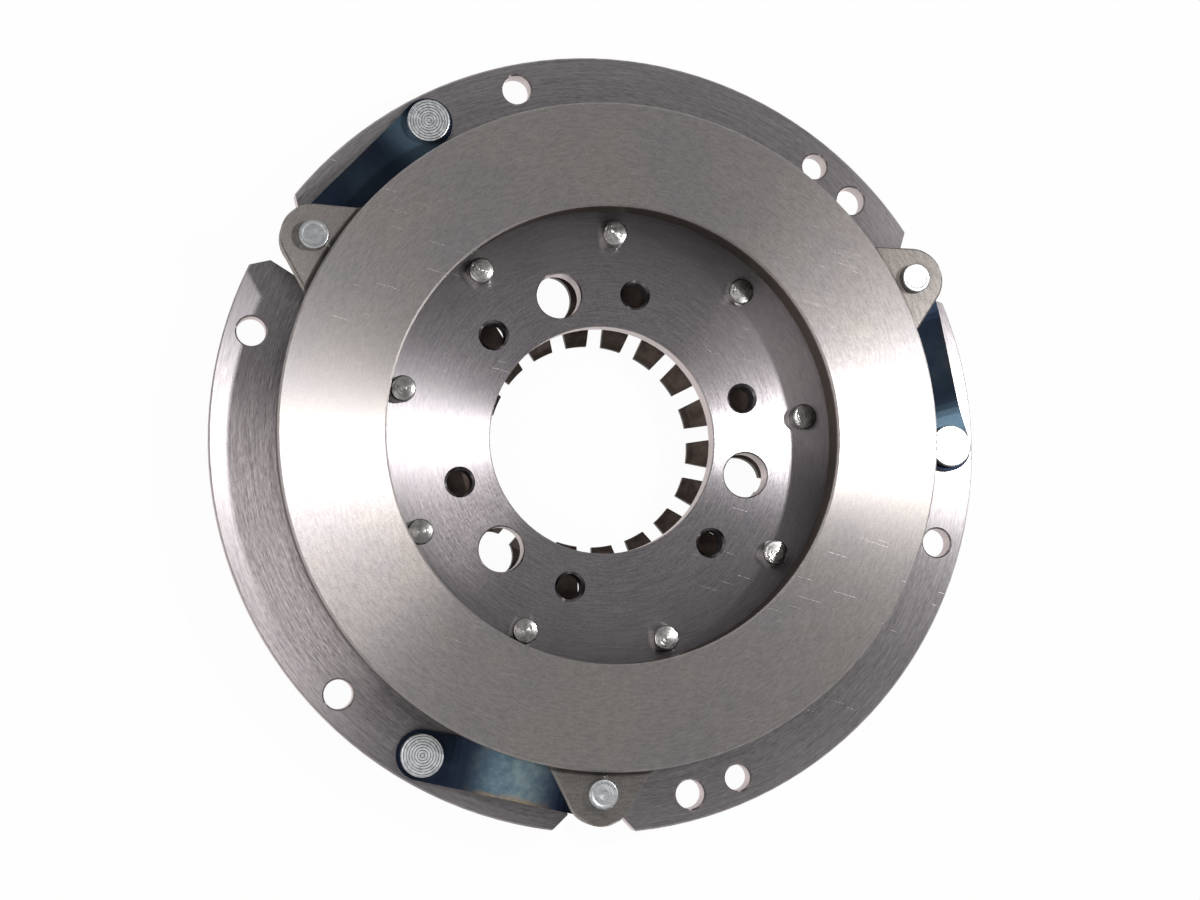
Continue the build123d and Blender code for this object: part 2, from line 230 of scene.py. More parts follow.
ground_dark = (0.172, 0.159, 0.174, 1)
ground_pale = (0.435, 0.406, 0.418, 1)
bare_wall = (0.66, 0.58, 0.57, 1)
painted_hole_shade = (0.035, 0.033, 0.036, 1)
scratch_depth = 0.000003
large_hole_angle = radians(3.2)
cover_metal, cover_shader, place = steel("ground_cover_steel", roughness=0.27, anisotropic=1.0)
streaks = around_axis(place, radial=2700.0, around=48.0).noise(scale=1.0, detail=2.0, rough=0.6)
fine_lines = around_axis(place, radial=9000.0, around=20.0, shift=7.0).noise(scale=1.0, detail=1.0)
long_lines = around_axis(place, radial=2400.0, around=7.0, shift=3.0).noise(scale=1.0, detail=2.0, rough=0.6)
clouds = place.noise(scale=45.0, detail=3.0)
marks = scratches(place, turn=24.0, length=0.016, rarity=0.835)
marks = (marks + scratches(place, turn=-51.0, length=0.012, rarity=0.84)).clamped()
radius = place.node("ShaderNodeVectorMath", {0: place}, {"operation": "LENGTH"}, 1)
on_rim = radius.step(0.1, 0.105)
tone = streaks.step(0.25, 0.75) * 0.4 + long_lines.step(0.3, 0.7) * 0.35 + clouds * 0.25 + on_rim * 0.24
x, y, _ = axes(place)
toward_large = (x * cos(large_hole_angle) + y * sin(large_hole_angle)) / radius
near_large = toward_large * toward_large * toward_large * 4.0 - toward_large * 3.0
in_floor_circle = radius.step(0.042, 0.0425) * (1.0 - radius.step(0.0516, 0.052))
# Painted shade: the walls of the small floor holes are painted near black, as the shade inside them.
in_small_hole = in_floor_circle * (1.0 - near_large.step(0.5, 0.7))
wall = in_small_hole.tint(bare_wall, painted_hole_shade)
feed(cover_shader, "Base Color", wall_share(place).tint(tone.tint(ground_dark, ground_pale), wall))
feed(cover_shader, "Roughness", 0.275 + streaks * 0.05 + clouds * 0.03 + marks * 0.04)
lean = (streaks - 0.5) * 0.3 + (long_lines - 0.5) * 0.2 + (fine_lines - 0.5) * 0.3
grooves(cover_shader, marks, scratch_depth, leaning(place, lean))


def finish_node(node, metal):
    """Gives a carried-over solid its finish."""
    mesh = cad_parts[node].data
    mesh.materials.clear()
    mesh.materials.append(metal)


finish_node("cover_plate", cover_metal)


# The wire rings that the spring rocks on: drawn round wire, bent to a ring and butted.
# One lies between the cover and the spring, the other between the spring and the rivets' collars.
def new_tree(name, inputs):
    """A Geometry Nodes tree with named inputs: returns it, and its inputs as wires by name."""
    tree = bpy.data.node_groups.new(name, "GeometryNodeTree")
    for label, kind in {"Geometry": "Geometry", **inputs, "Finish": "Material"}.items():
        tree.interface.new_socket(name=label, in_out="INPUT", socket_type=f"NodeSocket{kind}")
    tree.interface.new_socket(name="Geometry", in_out="OUTPUT", socket_type="NodeSocketGeometry")
    entry = tree.nodes.new("NodeGroupInput")
    return tree, {socket.name: Wire(tree, socket) for socket in entry.outputs if socket.name}


def ended(tree, shape, finish):
    """Ends a tree: its shape becomes real geometry with its finish."""
    real = shape.node("GeometryNodeRealizeInstances", {"Geometry": shape})
    done = real.node("GeometryNodeSetMaterial", {"Geometry": real, "Material": finish})
    tree.links.new(done.socket, tree.nodes.new("NodeGroupOutput").inputs["Geometry"])
    return tree


def baked(piece, tree, values):
    """Runs a tree on a piece with its inputs set, and keeps the result as the piece's plain mesh."""
    maker = piece.modifiers.new(tree.name, "NODES")
    maker.node_group = tree
    for item in tree.interface.items_tree:
        if item.in_out == "INPUT" and item.name in values:
            maker[item.identifier] = values[item.name]
    ready = piece.evaluated_get(bpy.context.evaluated_depsgraph_get())
    mesh = bpy.data.meshes.new_from_object(ready)
    mesh.name = piece.name
    finish = [metal for metal in mesh.materials if metal][0]
    mesh.materials.clear()
    mesh.materials.append(finish)
    mesh.polygons.foreach_set("material_index", [0] * len(mesh.polygons))
    piece.modifiers.remove(maker)
    piece.data = mesh
    return piece


def blank(name, points, edges=(), faces=()):
    """A new piece from points, edges and faces."""
    mesh = bpy.data.meshes.new(name)
    mesh.from_pydata(points, edges, faces)
    piece = bpy.data.objects.new(name, mesh)
    bpy.context.scene.collection.objects.link(piece)
    return piece


def wire_bending_tree():
    """Bends round wire to a closed ring about the clutch's axis."""
    tree, given = new_tree("bent_ring_wire", {
        "Ring radius": "Float", "Wire radius": "Float", "Height": "Float",
        "Steps round the ring": "Int", "Steps round the wire": "Int"})
    path = given["Geometry"].node("GeometryNodeCurvePrimitiveCircle", {
        "Resolution": given["Steps round the ring"], "Radius": given["Ring radius"]})
    section = path.node("GeometryNodeCurvePrimitiveCircle", {
        "Resolution": given["Steps round the wire"], "Radius": given["Wire radius"]})
    bent = path.node("GeometryNodeCurveToMesh", {"Curve": path, "Profile Curve": section})
    placed = bent.node("GeometryNodeTransform", {
        "Geometry": bent, "Translation": bent.node("ShaderNodeCombineXYZ", {2: given["Height"]})})
    return ended(tree, placed.node("GeometryNodeSetShadeSmooth", {"Geometry": placed}), given["Finish"])


wire_dark = (0.24, 0.225, 0.22, 1)
wire_pale = (0.42, 0.40, 0.39, 1)
wire_metal, wire_shader, place = steel("drawn_ring_wire", roughness=0.3)
drawing = around_axis(place, radial=3000.0, around=6.0).noise(scale=1.0, detail=2.0)
feed(wire_shader, "Base Color", drawing.tint(wire_dark, wire_pale))
feed(wire_shader, "Roughness", 0.24 + drawing * 0.12)
grooves(wire_shader, drawing, 0.00001)
wire_bending = wire_bending_tree()
wire_r = 0.002
for ring_name in ("front_fulcrum_ring", "rear_fulcrum_ring"):
    low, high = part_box(ring_name)
    ring = baked(blank(f"{ring_name}_wire", [(0.0, 0.0, 0.0)]), wire_bending, {
        "Ring radius": (high[0] - low[0]) / 2 - wire_r, "Wire radius": wire_r,
        "Height": (low[2] + high[2]) / 2, "Steps round the ring": 240, "Steps round the wire": 20,
        "Finish": wire_metal})
    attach(ring, "cover")
    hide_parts(ring_name)

# The diaphragm spring: pressed from one disc of spring steel, hardened and tempered to a dark brown.
# It rocks between the two wire rings, and its finger tips show in the cover's bore. It is made here
# as 18 fingers, each with its share of the rim.
scale_dark = (0.032, 0.023, 0.02, 1)
scale_pale = (0.088, 0.068, 0.058, 1)
spring_metal, spring_shader, place = steel("tempered_spring_steel", roughness=0.42, metallic=0.85)
scale_marks = place.noise(scale=160.0, detail=5.0, rough=0.65)
shot = place.noise(scale=1500.0, detail=2.0)
feed(spring_shader, "Base Color", scale_marks.step(0.3, 0.7).tint(scale_dark, scale_pale))
feed(spring_shader, "Roughness", 0.34 + scale_marks * 0.16 + shot * 0.1)
grooves(spring_shader, scale_marks * 0.5 + shot * 0.5, 0.00002)
tip_r = 0.0324
rim_r = 0.088
spring_t = 0.0024
rim_cone = radians(8.0)
finger_cone = radians(20.5)
spring_bend_at = 0.060
spring_bend_r = 0.030
edge_break = 0.0006
tip_ease = 0.0004
finger_count = 18
half_pitch = radians(180.0 / finger_count)
first_slot = radians(3.2)
slot_half_w = 0.0024
window_at = 0.0645
window_r = 0.005
tool_window_at = 0.0479
tool_window_r = 0.0073
seam_radii = (
    0.0695, 0.0713, 0.0732, 0.0751, 0.077, 0.0789, 0.0808, 0.0827, 0.0846, 0.086, 0.0874, 0.0877, rim_r)
row_pitch = 0.0017
rim_row_pitch = 0.0006
rim_rows_from = 0.084
column_pitch = 0.003
clear_of_edge = 0.0004
edge_slack = 0.000012


def ring_points(x, y, radius, steps):
    """Points round a circle."""
    return [(x + radius * cos(2 * pi * n / steps), y + radius * sin(2 * pi * n / steps)) for n in range(steps)]


def on_finger(x, y, notched, spare):
    """Whether a place on the disc is metal of this finger, and not within a spare width of its edges."""
    radius = hypot(x, y)
    inside = tip_r + spare < radius < rim_r - spare and abs(atan2(y, x)) < half_pitch - spare / radius
    for side in (1, -1):
        ahead = (cos(half_pitch), side * sin(half_pitch))
        from_slot = abs(x * ahead[1] - y * ahead[0])
        from_window = hypot(x - window_at * ahead[0], y - window_at * ahead[1])
        from_tool_window = hypot(x - tool_window_at * ahead[0], y - tool_window_at * ahead[1])
        inside = inside and (radius > window_at or from_slot > slot_half_w + spare)
        inside = inside and from_window > window_r + spare
        inside = inside and (side not in notched or from_tool_window > tool_window_r + spare)
    return inside


def finger_plan(notched):
    """One finger and its share of the rim as flat triangles: the press cuts these edges from the disc."""
    turns = [-half_pitch + 2 * half_pitch * n / 16 for n in range(17)]
    loops = [[(radius * cos(a), radius * sin(a)) for a in turns] for radius in (rim_r, tip_r)]
    for side in (1, -1):
        ahead = Vector((cos(half_pitch), side * sin(half_pitch)))
        inward = Vector((ahead.y, -ahead.x)) * side * slot_half_w
        loops.append([tuple(ahead * radius) for radius in (tip_r,) + seam_radii])
        loops.append([tuple(ahead * (tip_r + (window_at - tip_r) * n / 10) + inward) for n in range(-1, 11)])
        rounds = ring_points(*(ahead * window_at), window_r, 40)
        loops.append(rounds + rounds[:1])
        if side in notched:
            rounds = ring_points(*(ahead * tool_window_at), tool_window_r, 48)
            loops.append(rounds + rounds[:1])
    points = []
    edges = []
    for loop in loops:
        edges += [(len(points) + n, len(points) + n + 1) for n in range(len(loop) - 1)]
        points += loop
    row = tip_r
    while row < rim_r:
        row += row_pitch if row < rim_rows_from else rim_row_pitch
        turn_count = max(3, round(2 * half_pitch * row / column_pitch))
        for n in range(turn_count + 1):
            turn = half_pitch * (2 * n / turn_count - 1)
            if on_finger(row * cos(turn), row * sin(turn), notched, clear_of_edge):
                points.append((row * cos(turn), row * sin(turn)))
    found = geometry.delaunay_2d_cdt([Vector(point) for point in points], edges, [], 0, 1e-6)
    corners = [Vector(point) for point in found[0]]
    faces = []
    for face in found[2]:
        middle = sum((corners[n] for n in face), Vector((0.0, 0.0))) / len(face)
        if on_finger(middle.x, middle.y, notched, -edge_slack):
            faces.append(tuple(face))
    used = sorted({n for face in faces for n in face})
    place_of = {n: at for at, n in enumerate(used)}
    return [(*corners[n], 0.0) for n in used], [tuple(place_of[n] for n in face) for face in faces]


def slab(sheet, thickness):
    """A closed slab from a thin sheet that faces up: its underside, its top and the edges between."""
    under = sheet.node("GeometryNodeFlipFaces", {"Mesh": sheet})
    over = sheet.node("GeometryNodeExtrudeMesh", {
        "Mesh": sheet, "Offset": sheet.node("ShaderNodeCombineXYZ", {2: thickness}),
        "Offset Scale": 1.0, "Individual": False})
    joined = over.node("GeometryNodeJoinGeometry", {})
    for half in (under, over):
        sheet.tree.links.new(half.socket, joined.socket.node.inputs[0])
    return joined.node("GeometryNodeMergeByDistance", {"Geometry": joined, "Distance": 1e-6})


def softened(shape, sharpest):
    """Smooth shading, but crisp edges where the faces turn by more than this many degrees."""
    angle = shape.node("GeometryNodeInputMeshEdgeAngle", {})
    return shape.node("GeometryNodeSetShadeSmooth", {
        "Geometry": shape, "Selection": angle.math("GREATER_THAN", radians(sharpest)), "Shade Smooth": False},
        {"domain": "EDGE"})


def spring_tree():
    """Gives a flat finger its thickness, presses it to the spring's two cones, and turns it to its place."""
    tree, given = new_tree("pressed_spring_finger", {
        "Thickness": "Float", "Rim cone": "Float", "Finger cone": "Float",
        "Bend inner radius": "Float", "Bend outer radius": "Float", "Bend height": "Float",
        "Rim radius": "Float", "Edge break": "Float", "Tip radius": "Float", "Tip ease": "Float",
        "Turn": "Float"})
    tip_band = 0.001
    between_faces = 0.001
    thickness = given["Thickness"]
    flat = slab(given["Geometry"], thickness)
    spot = flat.node("GeometryNodeInputPosition", {})
    x, y, z = axes(spot)
    radius = (x * x + y * y).math("SQRT")
    outer = given["Bend outer radius"]
    inner = given["Bend inner radius"]
    fall = given["Rim cone"].math("TANGENT")
    steeper = given["Finger cone"].math("TANGENT") - fall
    bent = (outer - radius).math("MAXIMUM", 0.0).math("MINIMUM", outer - inner)
    past = (inner - radius).math("MAXIMUM", 0.0)
    drop = steeper * (bent * bent / ((outer - inner) * 2.0) + past)
    middle = given["Bend height"] + (radius - outer) * fall - drop
    slope = given["Rim cone"] + (given["Finger cone"] - given["Rim cone"]) * (bent / (outer - inner))
    near_rim = ((radius - given["Rim radius"]) / given["Edge break"] + 1.0).math("MAXIMUM", 0.0)
    near_tip = 1.0 - ((radius - given["Tip radius"]) / tip_band).math("MINIMUM", 1.0)
    half = thickness / 2.0 / slope.math("COSINE") - given["Edge break"] * near_rim * near_rim * 0.8
    half = half - given["Tip ease"] * near_tip
    side = z.math("GREATER_THAN", between_faces) * 2.0 - 1.0
    pressed = flat.node("GeometryNodeSetPosition", {
        "Geometry": flat, "Position": spot.node("ShaderNodeCombineXYZ", {0: x, 1: y, 2: middle + side * half})})
    soft = softened(pressed, 30)
    turned_round = soft.node("GeometryNodeTransform", {
        "Geometry": soft, "Rotation": soft.node("ShaderNodeCombineXYZ", {2: given["Turn"]})})
    return ended(tree, turned_round, given["Finish"])


spring_pressing = spring_tree()
low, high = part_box("front_fulcrum_ring")
fulcrum_r = (high[0] - low[0]) / 2 - wire_r
wire_seat = 0.00005
spring_mid = (low[2] + high[2]) / 2 - (wire_r + wire_seat + spring_t / 2) / cos(rim_cone)
bend_half = spring_bend_r * tan((finger_cone - rim_cone) / 2)
bend_outer = spring_bend_at + bend_half * cos(rim_cone)
bend_inner = spring_bend_at - bend_half * cos(finger_cone)
plans = {notched: finger_plan(notched) for notched in ((), (1,), (-1,))}
for finger in range(finger_count):
    turn = first_slot + half_pitch * (2 * finger + 1)
    notched = {5: (1,), 0: (-1,)}.get(finger % 6, ())
    plan_points, plan_faces = plans[notched]
    piece = blank(f"spring_finger_{finger + 1}", plan_points, faces=plan_faces)
    baked(piece, spring_pressing, {
        "Thickness": spring_t, "Rim cone": rim_cone, "Finger cone": finger_cone,
        "Bend inner radius": bend_inner, "Bend outer radius": bend_outer,
        "Bend height": spring_mid - (fulcrum_r - bend_outer) * tan(rim_cone),
        "Rim radius": rim_r, "Edge break": edge_break, "Tip radius": tip_r, "Tip ease": tip_ease,
        "Turn": turn, "Finish": spring_metal})
    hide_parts("diaphragm_spring")
    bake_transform(piece)


# The fulcrum rivets: nine turned pins of steel with a slightly crowned head, and a wide collar behind.
# Their shanks pass through the spring's round windows and hold the rings and the spring to the cover.
def turning_tree():
    """Turns the profile in the piece's mesh on its own axis, and sets copies round a circle."""
    tree, given = new_tree("turned_rivets", {
        "Profile points": "Int", "Sides": "Int", "Count": "Int", "Circle radius": "Float",
        "First angle": "Float", "Seed": "Int"})
    profile = given["Geometry"]
    rows = given["Profile points"]
    sides = given["Sides"]
    grid = profile.node("GeometryNodeMeshGrid", {
        "Size X": sides, "Size Y": rows - 1, "Vertices X": sides + 1, "Vertices Y": rows})
    spot = profile.node("GeometryNodeInputPosition", {})
    x, y, _ = axes(spot)
    column = x + sides / 2.0
    row = y + (rows - 1) / 2.0
    on_profile = spot.node("GeometryNodeSampleIndex", {
        "Geometry": profile, "Value": spot, "Index": (row + 0.5).math("FLOOR")}, {"data_type": "FLOAT_VECTOR"})
    radius, _, height = axes(on_profile)
    turn = column / sides * (2 * pi)
    lathe = spot.node("ShaderNodeCombineXYZ", {
        0: radius * turn.math("COSINE"), 1: radius * turn.math("SINE"), 2: height})
    turned = grid.node("GeometryNodeSetPosition", {"Geometry": grid, "Position": lathe})
    closed = turned.node("GeometryNodeMergeByDistance", {"Geometry": turned, "Distance": 1e-6})
    soft = softened(closed, 24)
    kept = soft.node("GeometryNodeStoreNamedAttribute", {
        "Geometry": soft, "Name": "on_rivet", "Value": spot}, {"data_type": "FLOAT_VECTOR", "domain": "POINT"})
    circle = kept.node("GeometryNodeMeshCircle", {"Vertices": given["Count"], "Radius": given["Circle radius"]})
    index = circle.node("GeometryNodeInputIndex", {})
    place = circle.node("GeometryNodeTransform", {
        "Geometry": circle, "Rotation": circle.node("ShaderNodeCombineXYZ", {2: given["First angle"]})})
    chance = place.node("FunctionNodeRandomValue", {2: 0.0, 3: 1.0, "ID": index, "Seed": given["Seed"]},
                        {"data_type": "FLOAT"}, output=1)
    spread = place.node("GeometryNodeInstanceOnPoints", {"Points": place, "Instance": kept})
    numbered = spread.node("GeometryNodeStoreNamedAttribute", {
        "Geometry": spread, "Name": "rivet_chance", "Value": chance},
        {"data_type": "FLOAT", "domain": "INSTANCE"})
    return ended(tree, numbered, given["Finish"])


rivet_turning = turning_tree()


def turned(name, profile, sides, count, circle, first_angle, seed, metal):
    """A set of like rivets, turned from a profile in millimetres that runs from the back to the front."""
    points = [(radius / 1000.0, 0.0, height / 1000.0) for radius, height in profile]
    piece = blank(name, points, [(n, n + 1) for n in range(len(points) - 1)])
    return baked(piece, rivet_turning, {
        "Profile points": len(points), "Sides": sides, "Count": count, "Circle radius": circle / 1000.0,
        "First angle": radians(first_angle), "Seed": seed, "Finish": metal})


def rounded(radius, height, edge, front=True, steps=4):
    """The points of a rounded outer edge of a turned head, in millimetres."""
    points = []
    for step in range(steps + 1):
        turn = radians(90.0 * step / steps)
        if front:
            points.append((radius - edge + edge * cos(turn), height - edge + edge * sin(turn)))
        else:
            points.append((radius - edge + edge * sin(turn), height + edge - edge * cos(turn)))
    return points


def carried(place, name, output=2):
    """A value that the mesh carries, as a wire: output 2 is a number and output 1 a place."""
    return place.node("ShaderNodeAttribute", {}, {"attribute_name": name}, output)


rivet_dark = (0.19, 0.182, 0.178, 1)
rivet_pale = (0.44, 0.43, 0.42, 1)
rivet_metal, rivet_shader, place = steel("turned_rivet_steel", roughness=0.24)
head = carried(place, "on_rivet", output=1)
chance = carried(place, "rivet_chance")
tool_lines = around_axis(head, radial=5000.0, around=0.5, shift=chance * 40.0).noise(scale=1.0, detail=1.0)
tool_marks = around_axis(head, radial=21000.0, around=1.5, shift=chance * 40.0).noise(scale=1.0, detail=1.0)
smudge = place.noise(scale=520.0, detail=4.0)
tone = tool_lines * 0.3 + smudge.step(0.3, 0.7) * 0.5 + chance * 0.2
feed(rivet_shader, "Base Color", tone.tint(rivet_dark, rivet_pale))
feed(rivet_shader, "Roughness", 0.16 + smudge * 0.12)
lean = (tool_marks - 0.5) * 0.7 + (tool_lines - 0.5) * 0.4
grooves(rivet_shader, smudge, 0.000006, leaning(head, lean))
fulcrum_circle = 64.5
fulcrum_rivet_angle = 23.2
fulcrum_pin_r = 4.0
fulcrum_pin_h = 4.5
fulcrum_crown = 0.16
fulcrum_edge = 0.6
fulcrum_collar_r = 7.0
fulcrum_shank_r = 3.5
collar_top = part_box("rear_fulcrum_ring")[0][2] * 1000.0 - 0.05
collar_back = collar_top - 3.0
fulcrum_profile = (
    [(0.0, collar_back), (2.2, collar_back), (2.5, collar_top - 2.8)]
    + rounded(fulcrum_collar_r, collar_back, 0.4, False)
    + rounded(fulcrum_collar_r, collar_top, 0.15)
    + [(fulcrum_shank_r, collar_top), (fulcrum_shank_r, 0.0), (fulcrum_pin_r, 0.0)]
    + rounded(fulcrum_pin_r, fulcrum_pin_h - fulcrum_crown, fulcrum_edge)
    + [(2.4, fulcrum_pin_h - 0.07), (1.2, fulcrum_pin_h - 0.02), (0.0, fulcrum_pin_h)]
)
fulcrum_rivets = turned(
    "fulcrum_rivets", fulcrum_profile, sides=64, count=9, circle=fulcrum_circle,
    first_angle=fulcrum_rivet_angle, seed=3, metal=rivet_metal)
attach(fulcrum_rivets, "cover")
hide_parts(*[f"fulcrum_rivet_{number}" for number in range(1, 10)])

# The pressure plate: cast grey iron, its friction face and lugs turned and then ground.
# The ground face is satin and warmer than the steel, and its graphite shows as a fine fleck.
# Behind, the iron keeps its sand-cast skin.
cool_dark, cool_pale = (0.305, 0.287, 0.290, 1), (0.478, 0.450, 0.455, 1)
warm_dark, warm_pale = (0.328, 0.302, 0.291, 1), (0.518, 0.480, 0.464, 1)
lug_dark, lug_pale = (0.21, 0.192, 0.18, 1), (0.46, 0.423, 0.40, 1)
skin_dark, skin_pale = (0.07, 0.062, 0.058, 1), (0.20, 0.185, 0.175, 1)
bore_dark, bore_pale = (0.06, 0.047, 0.04, 1), (0.22, 0.185, 0.165, 1)
painted_step_shade = (0.05, 0.042, 0.036, 1)
plate_metal, plate_shader, place = steel("ground_plate_iron", roughness=0.38, anisotropic=1.0)
lay = around_axis(place, radial=1500.0, around=30.0).noise(scale=1.0, detail=2.0)
fleck = place.noise(scale=2400.0, detail=3.0, rough=0.7)
stain = place.noise(scale=34.0, detail=5.0, rough=0.6)
sand = place.noise(scale=1100.0, detail=4.0, rough=0.6)
marks = scratches(place, turn=70.0, length=0.014, rarity=0.80)
x, y, depth = axes(place)
radius = (x * x + y * y).math("SQRT")
on_lug = radius.step(0.1005, 0.1012) * (1.0 - depth.step(0.0195, 0.0205))
# Painted shade: a thin dark ring on the lug at the foot of the ring's step, as the shade in that corner.
step_foot = radius.step(0.1013, 0.1018) * (1.0 - radius.step(0.1024, 0.1034)) * on_lug
bore_wall = (1.0 - radius.step(0.0699, 0.0703)) * wall_share(place)
cast = 1.0 - depth.step(0.0105, 0.0122)
tone = lay.step(0.25, 0.75) * 0.45 + fleck.step(0.3, 0.7) * 0.55
ground = stain.step(0.36, 0.6).tint(tone.tint(cool_dark, cool_pale), tone.tint(warm_dark, warm_pale))
turned_lug = (step_foot * 0.8).tint(tone.tint(lug_dark, lug_pale), painted_step_shade)
bore_skin = (depth.step(0.0196, 0.0201) * 0.8 + lay * 0.3).clamped().tint(bore_dark, bore_pale)
worked = bore_wall.tint(on_lug.tint(ground, turned_lug), bore_skin)
feed(plate_shader, "Base Color", cast.tint(worked, sand.tint(skin_dark, skin_pale)))
feed(plate_shader, "Roughness", 0.335 + lay * 0.03 + fleck * 0.06 + on_lug * 0.06 + cast * 0.24)
feed(plate_shader, "Metallic", 1.0 - cast * 0.4)
lean = (lay - 0.5) * 0.12 + (fleck - 0.5) * 0.12 + (lay - 0.5) * on_lug * 0.5
grooves(plate_shader, marks * 0.05 + cast * sand, 0.00006, leaning(place, lean))
finish_node("pressure_plate", plate_metal)

# The straps: three packs of three blued spring-steel leaves, pressed to a shallow S and riveted at
# both ends. They carry the drive from the cover to the pressure plate, and let it slide.
# The third pack's middle is teal, with bronze along both edges: partly heat tint, partly a painted
# reflection of the soft lamp.
blue_dark, blue_pale = (0.005, 0.007, 0.014, 1), (0.018, 0.027, 0.045, 1)
teal_dark, teal_pale = (0.066, 0.108, 0.145, 1), (0.13, 0.175, 0.185, 1)
bronze_edge = (0.17, 0.135, 0.095, 1)
painted_sheen_blue = (0.075, 0.12, 0.155, 1)
blue_metal, blue_shader, place = steel("blued_strap_steel", roughness=0.4)
along = carried(place, "along_strap")
across = carried(place, "across_strap")
heat_and_reflection = carried(place, "heat_and_reflection_tint")
clouding = place.noise(scale=110.0, detail=4.0, rough=0.6)
grain = place.noise(scale=1800.0, detail=2.0)
streaking = place.noise(scale=420.0, detail=3.0, rough=0.6)
# Painted sheen: a lighter steel blue near the cover end of the first two packs, a painted reflection.
painted_sheen = along.step(0.02, 0.1) * (1.0 - along.step(0.12, 0.34)) * (1.0 - heat_and_reflection) * (0.35 + clouding * 0.5)
blue = painted_sheen.clamped().tint(clouding.tint(blue_dark, blue_pale), painted_sheen_blue)
edge = (across.math("ABSOLUTE") + (streaking - 0.5) * 0.5).step(0.72, 1.05)
teal = (clouding * 0.6 + streaking * 0.4).step(0.35, 0.65).tint(teal_dark, teal_pale)
# Partly heat tint, partly painted reflection: the third pack's middle is painted a lighter teal where the soft
# lamp shows in it.
middle = along.step(0.24, 0.46) * (1.0 - along.step(0.55, 0.8))
heated_and_lit = (middle * heat_and_reflection * (0.7 + streaking * 0.5)).clamped()
feed(blue_shader, "Base Color", heated_and_lit.tint(blue, edge.tint(teal, bronze_edge)))
feed(blue_shader, "Roughness", 0.34 + clouding * 0.1 + grain * 0.08)
grooves(blue_shader, grain, 0.000012)


def on_circle(radius, angle):
    """A place on a circle about the clutch's axis, at an angle in degrees."""
    return Vector((radius * cos(radians(angle)), radius * sin(radians(angle))))


heat_and_reflection_tints = (0.12, 0.06, 1.0)
cover_circle = 112.0
cover_rivet_angle = 15.74
lug_circle = 108.2
lug_rivet_angle = 43.8
cover_end = on_circle(cover_circle, cover_rivet_angle)
lug_end = on_circle(lug_circle, lug_rivet_angle)
strap_l = (lug_end - cover_end).length / 1000.0
strap_heading = atan2(lug_end.y - cover_end.y, lug_end.x - cover_end.x)
strap_w = 0.0155
cover_hole_r = 0.00405
lug_hole_r = 0.00455
leaf_t = 0.0007
leaf_pitch = 0.00075
lug_underside = 0.011
strap_rise = lug_underside - 2 * leaf_pitch - leaf_t
flat_end = 0.011
strap_bend_r = 0.022
slope = atan2(strap_rise, strap_l - 2 * flat_end)
bend_start = flat_end - strap_bend_r * tan(slope / 2)
bend_run = strap_bend_r * sin(slope)


def leaf_plan():
    """The leaf's flat plan as triangles: round ends, a hole at each end, and rows of points between."""
    half = strap_w / 2
    outline = [(half * cos(radians(a)), half * sin(radians(a))) for a in range(90, 271, 9)]
    outline = outline + [(strap_l - x, -y) for x, y in outline]
    columns = 36
    edge_columns = 24
    rows = (-0.006, -0.003, 0.0, 0.003, 0.006)
    clear_of_hole = 0.00085
    clear_of_end = 0.0008
    points = list(outline)
    edges = [(n, (n + 1) % len(outline)) for n in range(len(outline))]
    for centre, radius in ((0.0, cover_hole_r), (strap_l, lug_hole_r)):
        first = len(points)
        points += [(centre + radius * cos(radians(a)), radius * sin(radians(a))) for a in range(0, 360, 10)]
        edges += [(first + n, first + (n + 1) % 36) for n in range(36)]
    for column in range(1, columns):
        x = -half + (strap_l + 2 * half) * column / columns
        for y in rows:
            from_cover_end = hypot(x, y)
            from_lug_end = hypot(x - strap_l, y)
            inside = 0.0 < x < strap_l or min(from_cover_end, from_lug_end) < half - clear_of_end
            clear = from_cover_end > cover_hole_r + clear_of_hole and from_lug_end > lug_hole_r + clear_of_hole
            if inside and clear:
                points.append((x, y))
    for column in range(1, edge_columns):
        x = strap_l * column / edge_columns
        points += [(x, half), (x, -half)]
    flat = [Vector(point) for point in points]
    found = geometry.delaunay_2d_cdt(flat, edges, [], 4, 1e-7)
    return [(x, y, 0.0) for x, y in found[0]], [tuple(face) for face in found[2]]


